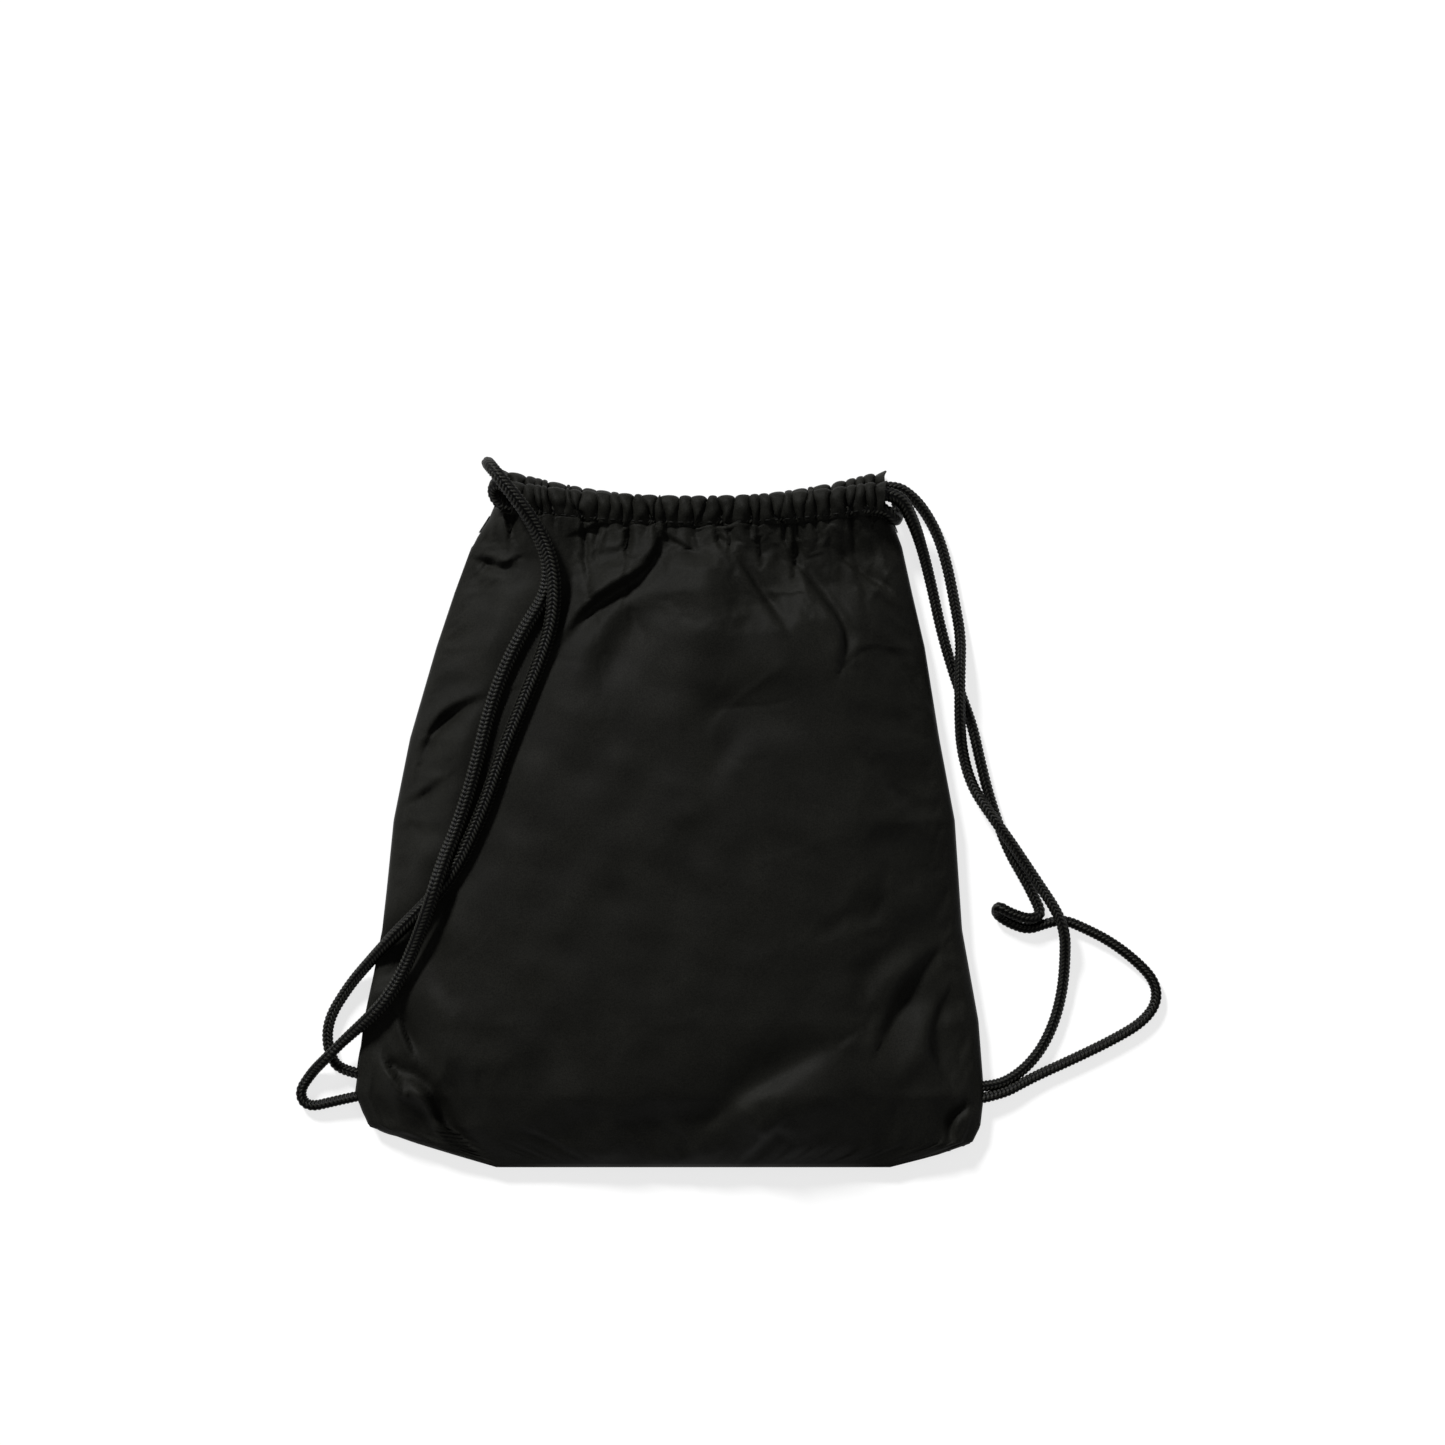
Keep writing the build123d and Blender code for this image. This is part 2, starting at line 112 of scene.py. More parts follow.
LEFT_CORD = [
    (-0.158, -0.1405, 0.008), (-0.18, -0.139, 0.0055), (-0.188, -0.127, 0.0036), (-0.188, -0.11, 0.0036),
    (-0.177, -0.092, 0.0036), (-0.166, -0.079, 0.009), (-0.152, -0.0645, 0.022), (-0.137, -0.05, 0.0285),
    (-0.124, -0.0365, 0.0325), (-0.114, -0.022, 0.0348), (-0.1055, -0.004, 0.0365),
    (-0.099, 0.012, 0.038), (-0.0925, 0.031, 0.0388), (-0.085, 0.051, 0.0388), (-0.0665, 0.096, 0.038),
    (-0.062, 0.119, 0.0385), (-0.0635, 0.141, 0.0385), (-0.0715, 0.16, 0.0385), (-0.084, 0.177, 0.044),
    (-0.099, 0.1955, 0.038), (-0.0993, 0.1953, 0.005), (-0.088, 0.183, 0.0043), (-0.066, 0.1768, 0.0043),
    (-0.028, 0.1702, 0.0043), (0.01, 0.1679, 0.0043), (0.05, 0.1696, 0.0043), (0.095, 0.1772, 0.0043),
    (0.1165, 0.183, 0.0043), (0.125, 0.177, 0.0043), (0.1252, 0.1665, 0.008), (0.1232, 0.164, 0.0205),
    (0.1165, 0.1712, 0.02585), (0.095, 0.1697, 0.02585), (0.055, 0.1655, 0.02585),
    (0.014, 0.1644, 0.02585), (-0.027, 0.1657, 0.02585), (-0.064, 0.1692, 0.02585),
    (-0.088, 0.1723, 0.02585), (-0.093, 0.1742, 0.026), (-0.0958, 0.1795, 0.0285),
    (-0.094, 0.1845, 0.034), (-0.0875, 0.182, 0.0364), (-0.0795, 0.1705, 0.035), (-0.07, 0.154, 0.032),
    (-0.065, 0.138, 0.032), (-0.0675, 0.1225, 0.033), (-0.0775, 0.107, 0.0348), (-0.087, 0.0885, 0.0348),
    (-0.0935, 0.073, 0.0348), (-0.0985, 0.057, 0.0348), (-0.104, 0.034, 0.0352),
    (-0.1095, 0.014, 0.035), (-0.116, -0.005, 0.0345), (-0.1225, -0.021, 0.037), (-0.127, -0.035, 0.0402),
    (-0.131, -0.048, 0.0372), (-0.138, -0.066, 0.029), (-0.1455, -0.083, 0.026),
    (-0.155, -0.0985, 0.0245), (-0.166, -0.1095, 0.0195), (-0.1785, -0.1205, 0.0135),
    (-0.1895, -0.1315, 0.011), (-0.1965, -0.1385, 0.0045), (-0.204, -0.1495, 0.0036),
    (-0.199, -0.158, 0.0036), (-0.183, -0.154, 0.005), (-0.158, -0.1485, 0.008),
]
RIGHT_CORD = [
    (0.158, -0.1465, 0.008), (0.1765, -0.1468, 0.0055), (0.1905, -0.1408, 0.0036), (0.2028, -0.1285, 0.0036),
    (0.2112, -0.112, 0.0036), (0.2158, -0.094, 0.004), (0.2172, -0.076, 0.006), (0.2168, -0.061, 0.0114),
    (0.2118, -0.049, 0.0112), (0.2035, -0.0365, 0.0088), (0.1955, -0.0245, 0.0088), (0.186, -0.0105, 0.0112),
    (0.1765, 0.0025, 0.0112), (0.166, 0.0185, 0.005), (0.1605, 0.038, 0.0045), (0.159, 0.057, 0.0112),
    (0.1592, 0.082, 0.0114), (0.16, 0.101, 0.0042), (0.1563, 0.121, 0.0036), (0.1523, 0.141, 0.0036),
    (0.1462, 0.16, 0.0044), (0.135, 0.1768, 0.0095), (0.1215, 0.185, 0.0112), (0.088, 0.1754, 0.0112),
    (0.05, 0.1696, 0.0112), (0.01, 0.1679, 0.0112), (-0.03, 0.1705, 0.0112), (-0.068, 0.1773, 0.0112),
    (-0.094, 0.1849, 0.0112), (-0.094, 0.1817, 0.02585), (-0.068, 0.1767, 0.02585), (-0.028, 0.1729, 0.02585),
    (0.012, 0.1716, 0.02585), (0.05, 0.1725, 0.02585), (0.086, 0.1756, 0.02585), (0.124, 0.1808, 0.0255),
    (0.1335, 0.1635, 0.019), (0.1395, 0.146, 0.008), (0.1445, 0.126, 0.0036), (0.1488, 0.106, 0.0036),
    (0.1535, 0.089, 0.0036), (0.16, 0.069, 0.0036), (0.1665, 0.0515, 0.0036), (0.1705, 0.033, 0.0036),
    (0.175, 0.015, 0.0036), (0.1808, -0.003, 0.0036), (0.1868, -0.018, 0.0036), (0.1938, -0.03, 0.0036),
    (0.2, -0.0415, 0.0036), (0.2045, -0.052, 0.0046), (0.1975, -0.0545, 0.0085), (0.187, -0.051, 0.01),
    (0.18, -0.0468, 0.0098), (0.1795, -0.0518, 0.0038), (0.188, -0.0572, 0.0036), (0.1975, -0.0602, 0.0036),
    (0.2065, -0.0568, 0.0036), (0.2165, -0.0545, 0.0036), (0.229, -0.0598, 0.0036), (0.242, -0.0665, 0.0036),
    (0.2555, -0.0765, 0.0036), (0.2665, -0.088, 0.0036), (0.268, -0.1, 0.0036), (0.26, -0.111, 0.0036),
    (0.244, -0.1205, 0.0036), (0.222, -0.1312, 0.0036), (0.1985, -0.1418, 0.0036), (0.18, -0.152, 0.0055),
    (0.158, -0.1545, 0.008),
]

# ---- folds of the front ----
# Each crease is (points in plan, fall, width, crest). Seen along its points, the cloth drops by fall on the
# right of the line and stands up by crest on its left, over about that width. A negative fall swaps the sides.
CREASES = [
    ([(-0.002, 0.16), (-0.005, 0.152), (-0.012, 0.138), (-0.026, 0.1295), (-0.039, 0.1215), (-0.051, 0.11),
      (-0.062, 0.094)], -0.0044, 0.0056, 0.003),
    ([(-0.003, 0.157), (0.004, 0.152), (0.0135, 0.1475)], 0.001, 0.0025, 0.0008),
    ([(0.0245, 0.159), (0.0255, 0.153), (0.0285, 0.1475)], -0.0018, 0.0022, 0.0008),
    ([(0.037, 0.143), (0.043, 0.134), (0.048, 0.126), (0.053, 0.119), (0.06, 0.108)],
     -0.0026, 0.0034, 0.0014),
    ([(0.047, 0.156), (0.0478, 0.149), (0.0495, 0.142)], -0.002, 0.0022, 0.0008),
    ([(0.067, 0.157), (0.0685, 0.146), (0.0672, 0.135)], -0.0022, 0.0024, 0.001),
    ([(0.072, 0.136), (0.0785, 0.128), (0.0845, 0.1205), (0.0925, 0.1085), (0.096, 0.099), (0.093, 0.087)],
     -0.0034, 0.004, 0.0018),
    ([(0.09, 0.147), (0.0985, 0.1395), (0.108, 0.132), (0.1205, 0.1245)], -0.0014, 0.0024, 0.0008),
    ([(-0.036, 0.1625), (-0.043, 0.1595), (-0.052, 0.1565)], -0.0016, 0.0024, 0.0008),
    ([(-0.0235, 0.161), (-0.024, 0.154), (-0.024, 0.147)], -0.0018, 0.0022, 0.0008),
    ([(-0.09, 0.071), (-0.105, 0.067), (-0.122, 0.06), (-0.133, 0.047), (-0.1365, 0.034)],
     -0.003, 0.0045, 0.0022),
    ([(-0.122, 0.024), (-0.132, 0.017), (-0.144, 0.01)], -0.0016, 0.0045, 0.001),
    ([(-0.148, -0.106), (-0.145, -0.117), (-0.14, -0.128)], -0.0032, 0.003, 0.0018),
    ([(-0.156, -0.131), (-0.151, -0.139), (-0.1445, -0.147)], -0.0032, 0.003, 0.0022),
    ([(-0.148, -0.138), (-0.136, -0.144), (-0.13, -0.153), (-0.1265, -0.166), (-0.112, -0.18)],
     -0.0052, 0.0046, 0.0036),
    ([(0.09, -0.124), (0.066, -0.139), (0.035, -0.155), (0.014, -0.176)], 0.003, 0.011, 0.001),
    ([(0.06, -0.166), (0.05, -0.176), (0.04, -0.187)], -0.0016, 0.0045, 0.001),
    ([(0.149, -0.068), (0.134, -0.08), (0.122, -0.098), (0.115, -0.118)], -0.0024, 0.006, 0.0016),
    ([(0.15, -0.096), (0.142, -0.112), (0.143, -0.128), (0.151, -0.143)], -0.0022, 0.005, 0.0014),
    ([(0.131, 0.078), (0.139, 0.068), (0.15, 0.053)], -0.0018, 0.004, 0.0012),
    ([(0.113, 0.024), (0.124, 0.012), (0.137, 0.000)], -0.0016, 0.006, 0.001),
    ([(0.156, -0.178), (0.1545, -0.168), (0.159, -0.16), (0.166, -0.158)], -0.003, 0.003, 0.002),
    ([(-0.107, 0.1445), (-0.0985, 0.1433), (-0.0905, 0.1385), (-0.085, 0.1425)], 0.0032, 0.0036, 0.0014),
    ([(-0.089, 0.169), (-0.0898, 0.162), (-0.086, 0.155)], -0.003, 0.003, 0.001),
]
CREASE_DEPTH = 1.6            # all the creases are deepened by this factor
CREASE_STEP = 0.0012
CREASE_REACH = 6              # a crease is worked out as far as this many of its widths
DROP_AT, DROP_STEEP, DROP_EASY = 0.4, 0.60, 1.3    # where the drop is deepest and how far it runs, in widths
CREST_AT, CREST_STEEP, CREST_EASY = 0.5, 0.65, 1.7
SWELL_DEPTH = 1.7             # and all the swells by this one
# Broad hollows and swells of the front: x, y, half widths along and across, turn in degrees, height
SWELLS = [
    (-0.026, 0.096, 0.030, 0.012, 60, -0.0030), (0.028, 0.062, 0.014, 0.009, 30, -0.0018),
    (0.030, 0.036, 0.016, 0.008, 60, -0.0014), (0.011, 0.004, 0.012, 0.007, 0, 0.0010),
    (-0.064, -0.114, 0.028, 0.011, -58, -0.0020), (-0.075, 0.020, 0.030, 0.014, -60, 0.0012),
    (0.070, 0.075, 0.034, 0.016, -55, 0.0016), (0.020, 0.120, 0.026, 0.014, -70, 0.0018),
    (0.105, -0.020, 0.040, 0.018, -60, 0.0012), (-0.120, -0.060, 0.036, 0.014, 70, 0.0012),
    (0.062, -0.160, 0.034, 0.012, 25, 0.0022), (-0.030, -0.165, 0.050, 0.010, 5, -0.0016),
    (-0.103, 0.127, 0.015, 0.009, -40, -0.0022), (-0.134, -0.164, 0.011, 0.005, -65, -0.0026),
    (0.040, 0.100, 0.030, 0.022, 10, 0.0016), (0.038, 0.052, 0.032, 0.018, 25, -0.0018),
]

# ---- where the left cord lies on the front, the cloth meets it ----
CORD_ON_BAG_ABOVE = 0.015     # its strands above this height lie on the bag,
CORD_ON_BAG_BELOW_Y = 0.156   # as far up as this
LIFT_UP, LIFT_DOWN = 0.008, 0.006
LIFT_WIDTH = 0.014

# ---- simulation of the front as cloth a little too large for its outline ----
SLACK = 0.022                 # share by which the cloth is too large
SLACK_FRAMES = 18
SLACK_REACH = 0.004           # the most that it may lift or drop
SLACK_COLUMNS, SLACK_ROWS = 120, 130
SEWN_WIDTH = 0.006            # width of the strips that are held still at its bottom and its mouth
SEWN_SHARE = 0.965            # and the share of the way to the side seams beyond which it is held too

# ---- gathers: the valleys where the cloth is drawn together along the mouth ----
GATHER_COUNT = 32
GATHER_LEAN = 0.48            # the valleys lean to the left and right by turns, at most by this slope,
GATHER_GROWTH = 1.3           # and deepen or fade by turns on their way down the casing,
GATHER_PIVOT = 0.3            # both about this share of the way down
GATHER_FAN = 2.0              # how fast the valleys spread apart below the casing, per metre
GATHER_SWAY = 0.0006
GATHER_SWAY_RATE = 420
GATHER_GAP = 0.006            # valleys this far apart are drawn in full, and closer ones less deeply
RIDGE_POWER_UP = 0.42         # how sharp the ridges are above the pivot,
RIDGE_POWER_DOWN = 1.15       # and what is added on the way down from it
gather_random = np.random.default_rng(11)
gather_steps = gather_random.uniform(0.45, 1.55, GATHER_COUNT)
gather_share = (np.cumsum(gather_steps) - 0.5) / gather_steps.sum()
gather_x = CASING_MIDDLE_X + CASING_HALF_SPAN * (2 * gather_share - 1)
gather_side = (-1.0) ** np.arange(GATHER_COUNT)
gather_lean = GATHER_LEAN * gather_side * gather_random.uniform(0.1, 1.0, GATHER_COUNT)
gather_depth = gather_random.uniform(0.50, 1.05, GATHER_COUNT)
gather_growth = GATHER_GROWTH * gather_side * gather_random.uniform(0.4, 1.0, GATHER_COUNT)
gather_reach = gather_random.uniform(0.007, 0.014, GATHER_COUNT)
gather_reach = gather_reach * gather_random.choice([0.7, 1.2, 2.4], GATHER_COUNT)
gather_sway = gather_random.uniform(0, 2 * math.pi, GATHER_COUNT)


# ---------------------------------------------------------------- helpers

def link(item):
    """Puts an object in the scene and returns it."""
    bpy.context.scene.collection.objects.link(item)
    return item


def smooth_line(route, steps=30):
    """Points read from the NURBS spline whose control points are the route."""
    curve = bpy.data.curves.new("route", "CURVE")
    curve.dimensions = "3D"
    curve.resolution_u = steps
    spline = curve.splines.new("NURBS")
    spline.points.add(len(route) - 1)
    for point, place in zip(spline.points, route):
        point.co = (*place, 1)
    spline.order_u = 3
    spline.use_endpoint_u = True
    holder = link(bpy.data.objects.new("route", curve))
    mesh = bpy.data.meshes.new_from_object(holder)
    points = np.array([vertex.co[:] for vertex in mesh.vertices])
    bpy.data.objects.remove(holder)
    bpy.data.meshes.remove(mesh)
    return points


def evenly(points, step):
    """The line's points spaced evenly, and how far along it each one lies."""
    runs = np.linalg.norm(np.diff(points, axis=0), axis=1)
    along = np.concatenate([[0], np.cumsum(runs)])
    count = max(int(along[-1] / step), 2)
    stations = np.linspace(0, along[-1], count)
    return np.stack([np.interp(stations, along, points[:, axis]) for axis in range(3)], axis=1), stations


def grid_object(name, places, around=False, caps=False):
    """A smooth mesh through a grid of places; around joins its last column to its first."""
    rows, columns = places.shape[:2]
    index = np.arange(rows * columns).reshape(rows, columns)
    here = index if around else index[:, :-1]
    beside = np.roll(index, -1, axis=1) if around else index[:, 1:]
    faces = np.stack([here[:-1], beside[:-1], beside[1:], here[1:]], axis=-1).reshape(-1, 4).tolist()
    if caps:
        faces += [index[0][::-1].tolist(), index[-1].tolist()]
    mesh = bpy.data.meshes.new(name)
    mesh.from_pydata(places.reshape(-1, 3).tolist(), [], faces)
    mesh.shade_smooth()
    mesh.validate()
    return link(bpy.data.objects.new(name, mesh))


def store(piece, name, values):
    """Keeps a number for every vertex, which a material can read."""
    attribute = piece.data.attributes.new(name, "FLOAT", "POINT")
    attribute.data.foreach_set("value", np.ascontiguousarray(values, np.float32))


def thicken(piece, offset):
    """Gives a sheet its cloth thickness, as a finished mesh: outwards for offset 1, inwards for -1."""
    solidify = piece.modifiers.new("thickness", "SOLIDIFY")
    solidify.thickness = CLOTH
    solidify.offset = offset
    depsgraph = bpy.context.evaluated_depsgraph_get()
    finished = bpy.data.meshes.new_from_object(piece.evaluated_get(depsgraph), depsgraph=depsgraph)
    piece.modifiers.clear()
    piece.data = finished
    return piece


# ---------------------------------------------------------------- camera

CAMERA_AIM = Vector((0.029, 0.0537, 0.0))
CAMERA_HEIGHT = 3.0
VIEW_WIDTH = 0.792            # width of what the camera takes in, at about the height of the bag's front
VIEW_LEVEL = 0.012
SENSOR = 36.0

camera_data = bpy.data.cameras.new("camera")
camera_data.sensor_width = SENSOR
camera_data.lens = SENSOR * (CAMERA_HEIGHT - VIEW_LEVEL) / VIEW_WIDTH
camera = link(bpy.data.objects.new("camera", camera_data))
camera.location = CAMERA_AIM + Vector((0, 0, CAMERA_HEIGHT))
bpy.context.scene.camera = camera


# ---------------------------------------------------------------- cords

def braid(around, along):
    """Height of the braid's stitches: 0 in the grooves between them and 1 on their backs."""
    column = around * BRAID_COLUMNS + 0.5
    across = column % 1.0
    lean = np.where(np.floor(column) % 2 == 0, 1.0, -1.0)
    phase = along / BRAID_PITCH + lean * BRAID_LEAN * (across - 0.5)
    stitch = np.abs(np.cos(np.pi * phase)) ** STITCH_POWER
    shoulder = np.sin(np.pi * across) ** SHOULDER_POWER
    return stitch * shoulder


def carried_along(tangents):
    """A direction square to every tangent, which turns no more than the line does."""
    side = np.cross(tangents[0], (0, 0, 1))
    sides = []
    for tangent in tangents:
        side = side - tangent * side.dot(tangent)
        side = side / np.linalg.norm(side)
        sides.append(side)
    return np.array(sides)


def pressed(offset, points, tangents):
    """The rings' offsets, widened sideways where the cord lies on the bag and narrowed beside it."""
    level = np.cross(tangents, (0, 0, 1))
    level /= np.maximum(np.linalg.norm(level, axis=1), 0.2)[:, None]
    flatness = (1 - tangents[:, 2] ** 2).clip(0) ** 2
    widen = np.where(points[:, 2] > PRESSED_ABOVE, PRESSED_WIDER, LOOSE_WIDER) * flatness
    window = 2 * PRESSED_FADE + 1
    widen = np.convolve(np.pad(widen, PRESSED_FADE, mode="edge"), np.full(window, 1 / window), mode="valid")
    sideways = (offset * level[:, None, :]).sum(axis=2)
    return offset + (widen[:, None] * sideways)[:, :, None] * level[:, None, :]


def braided_cord(name, route):
    """The braided cord as a mesh tube that follows the route's spline, and the points that it follows."""
    points, along = evenly(smooth_line(route), RING_STEP)
    tangents = np.gradient(points, axis=0)
    tangents /= np.linalg.norm(tangents, axis=1)[:, None]
    sides = carried_along(tangents)
    tops = np.cross(sides, tangents)
    around = np.arange(RING_POINTS) / RING_POINTS
    height = braid(around[None, :], along[:, None])
    groove = BRAID_DEPTH * (1 - BRAID_DEPTH_LOST * np.abs(tangents[:, 2])).clip(0)
    radius = CORD_RADIUS - groove[:, None] * (1 - height)
    angle = 2 * np.pi * around
    ring = np.cos(angle)[None, :, None] * sides[:, None, :] + np.sin(angle)[None, :, None] * tops[:, None, :]
    offset = pressed(radius[:, :, None] * ring, points, tangents)
    cord = grid_object(name, points[:, None, :] + offset, around=True, caps=True)
    # The cord's material reads this height to paint shade into the grooves.
    store(cord, "braid", height.ravel())
    return cord, points


left_cord, left_path = braided_cord("left_drawcord", LEFT_CORD)
right_cord, right_path = braided_cord("right_drawcord", RIGHT_CORD)


# ---------------------------------------------------------------- the shape of the bag

def outline(y):
    """Left edge, right edge and front height of the bag at y."""
    table = np.array(SLICES)
    return [np.interp(y, table[:, 0], table[:, column]) for column in (1, 2, 3)]


def arc_y(x, rise, offset):
    """y of a line that runs along a casing at that offset from its middle line, positive towards the rim."""
    radius = (CASING_HALF_SPAN ** 2 + rise ** 2) / (2 * rise)
    waver = sum(size * np.sin(x * rate + phase) for size, rate, phase in EDGE_WAVES)
    lower = np.clip(-2 * offset / CASING_DEPTH, 0, 1)
    arc = RIM_MIDDLE_Y + radius - np.sqrt((radius - offset) ** 2 - (x - CASING_MIDDLE_X) ** 2)
    return arc + waver * lower


def gathers(x, down):
    """Fall of the cloth between its gathers: 0 on the ridges, about 1 in the valleys, less below the casing."""
    below = np.maximum(down - CASING_DEPTH, 0)
    inside = np.minimum(down, CASING_DEPTH)
    valley = CASING_MIDDLE_X + (gather_x[:, None] - CASING_MIDDLE_X) * (1 + GATHER_FAN * below)
    valley += gather_lean[:, None] * (inside - GATHER_PIVOT * CASING_DEPTH + 0.6 * below)
    valley += GATHER_SWAY * np.sin(down * GATHER_SWAY_RATE + gather_sway[:, None])
    low = (inside / CASING_DEPTH - GATHER_PIVOT)[None, :]
    fading = np.exp(-below / gather_reach[:, None])
    strength = gather_depth[:, None] * (1 + gather_growth[:, None] * low).clip(0.1) * fading
    ends = np.full((1, len(x)), CASING_HALF_SPAN + 0.020)
    valley = np.concatenate([CASING_MIDDLE_X - ends, valley, CASING_MIDDLE_X + ends])
    strength = np.concatenate([0 * ends, strength, 0 * ends])
    order = np.argsort(valley, axis=0)
    valley = np.take_along_axis(valley, order, axis=0)
    strength = np.take_along_axis(strength, order, axis=0)
    after = np.clip((valley < x).sum(axis=0), 1, GATHER_COUNT + 1)
    place = np.arange(len(x))
    gap = np.maximum(valley[after, place] - valley[after - 1, place], 1e-5)
    share = np.clip((x - valley[after - 1, place]) / gap, 0, 1)
    past_pivot = ((down - GATHER_PIVOT * CASING_DEPTH) / CASING_DEPTH).clip(0, 1)
    ridge = (4 * share * (1 - share)) ** (RIDGE_POWER_UP + RIDGE_POWER_DOWN * past_pivot)
    depth = strength[after - 1, place] * (1 - share) + strength[after, place] * share
    return (depth * np.clip(gap / GATHER_GAP, 0.3, 1.3) * (1 - ridge)).clip(0, 1.25)


def crumple(x, y, length, seed, waves=24):
    """Smooth random unevenness of about that wavelength, from about -2 to 2."""
    random = np.random.default_rng(seed)
    total = np.zeros_like(x)
    for _ in range(waves):
        turn, phase, stretch = random.uniform(0, 1, 3)
        run = x * math.cos(2 * math.pi * turn) + y * math.sin(2 * math.pi * turn)
        total += np.sin(2 * math.pi * (run / (length * (0.7 + 0.9 * stretch)) + phase))
    return total / math.sqrt(waves / 2)


def broken_lines(x, y, length, seed, sharpness, gap_length, gap_seed):
    """Smooth random lines, 1 on a line and 0 away from it, with gaps: both have a wavelength and a seed."""
    lines = (1 - np.abs(crumple(x, y, length, seed)).clip(0, 1)) ** sharpness
    return lines * (0.4 + 0.6 * crumple(x, y, gap_length, gap_seed)).clip(0, 1)


def crease_height(x, y):
    """What the creases add to the front at x, y."""
    height = np.zeros_like(x)
    for points, fall, width, crest in CREASES:
        line, along = evenly(smooth_line([(px, py, 0) for px, py in points]), CREASE_STEP)
        heading = np.gradient(line, axis=0)
        heading /= np.linalg.norm(heading, axis=1)[:, None]
        near_x = np.abs(x - line[:, 0].mean()) < np.ptp(line[:, 0]) / 2 + CREASE_REACH * width
        near_y = np.abs(y - line[:, 1].mean()) < np.ptp(line[:, 1]) / 2 + CREASE_REACH * width
        near = near_x & near_y
        gap_x = x[near][:, None] - line[None, :, 0]
        gap_y = y[near][:, None] - line[None, :, 1]
        nearest = np.argmin(gap_x ** 2 + gap_y ** 2, axis=1)
        rows = np.arange(len(nearest))
        distance = np.hypot(gap_x[rows, nearest], gap_y[rows, nearest])
        right_of = heading[nearest, 1] * gap_x[rows, nearest] - heading[nearest, 0] * gap_y[rows, nearest]
        signed = np.sign(right_of) * distance * (1 if fall > 0 else -1)
        share = along[nearest] / along[-1]
        taper = np.sin(np.pi * np.clip(share * 0.92 + 0.04, 0, 1)) ** 0.6
        past_drop = signed / width - DROP_AT
        past_crest = signed / width + CREST_AT
        drop_run = np.where(past_drop < 0, DROP_STEEP, DROP_EASY)
        crest_run = np.where(past_crest > 0, CREST_STEEP, CREST_EASY)
        drop = CREASE_DEPTH * abs(fall) * np.exp(-(past_drop / drop_run) ** 2)
        rise = CREASE_DEPTH * crest * np.exp(-(past_crest / crest_run) ** 2)
        height[near] += taper * (rise - drop)
    return height


def swell_height(x, y):
    """What the broad hollows and swells add to the front at x, y."""
    height = np.zeros_like(x)
    for centre_x, centre_y, half_along, half_across, turn, swell in SWELLS:
        cosine, sine = math.cos(math.radians(turn)), math.sin(math.radians(turn))
        along = (x - centre_x) * cosine + (y - centre_y) * sine
        across = (y - centre_y) * cosine - (x - centre_x) * sine
        height += SWELL_DEPTH * swell * np.exp(-(along / half_along) ** 2 - (across / half_across) ** 2)
    return height


def panel_grid(columns, rows, rise, past_stitches):
    """Plan places of a panel from the bottom seam to a casing's stitched edge, each place's share of the way
    to a side seam, and the y of the edge above it."""
    across = np.sin(np.linspace(-1, 1, columns) * math.pi / 2) * 0.35 + np.linspace(-1, 1, columns) * 0.65
    up = np.linspace(0, 1, rows)
    up = 1.45 * up - 0.45 * up ** 2.2
    share, up = np.meshgrid(across, up)
    y = BOTTOM_Y + (RIM_MIDDLE_Y - BOTTOM_Y) * up
    x = np.zeros_like(y)
    for _ in range(4):
        left, right, _height = outline(y)
        x = (left + right) / 2 + share * (right - left) / 2
        top = arc_y(x, rise, -CASING_DEPTH / 2) + past_stitches
        y = BOTTOM_Y + (top - BOTTOM_Y) * up
    return x, y, share, top


def casing_crown(down, folds, height):
    """Height of a casing's upper side over its middle line, a distance down from its rim."""
    depth = CASING_DEPTH / 2
    out = np.clip(1 - down / depth, -1, 1)
    section = (1 - np.abs(out) ** CASING_POWER) ** (1 / CASING_POWER)
    full = ((out + 1) / 1.2).clip(0, 1)
    full = 0.58 + 0.42 * full ** 2 * (3 - 2 * full)
    return height / 2 * section * full * (1.50 - folds * (0.85 + 0.45 * (down / CASING_DEPTH).clip(0, 1)))


def front_height(x, y, share, top):
    """Height of the puffed front panel, which rises onto its casing at the stitches."""
    height = outline(y)[2]
    arch = (1 - np.abs(share) ** 2).clip(0) ** ARCH_POWER
    bottom = np.sqrt(1 - (1 - ((y - BOTTOM_Y) / BOTTOM_TURN).clip(0, 1)) ** 2)
    puffed = SEAM_Z + (height - SEAM_Z) * arch * bottom
    down = (top - OVER_CASING - y + CASING_DEPTH).ravel()
    lap = CASING_DEPTH - OVER_CASING
    folds = gathers(x.ravel(), down)
    crown = casing_crown(np.minimum(down, lap), folds, FRONT_CASING["height"]).reshape(x.shape)
    flat_crown = casing_crown(np.full(1, lap), 0.0, FRONT_CASING["height"])[0]
    casing_level = FRONT_CASING["middle_z"] + flat_crown
    level = SEAM_Z + (casing_level - SEAM_Z) * (1 - np.abs(share) ** 8).clip(0) ** 0.5
    near_top = (1 - (top - y) / TOP_TURN).clip(0, 1)
    near_top = near_top ** 2 * (3 - 2 * near_top)
    tucked = TUCK * ((down.reshape(x.shape) - CASING_DEPTH + OVER_CASING) < CLOTH)
    inner = (1 - np.abs(share) ** 12).clip(0)
    return puffed * (1 - near_top) + level * near_top + (crown - flat_crown) * inner - tucked


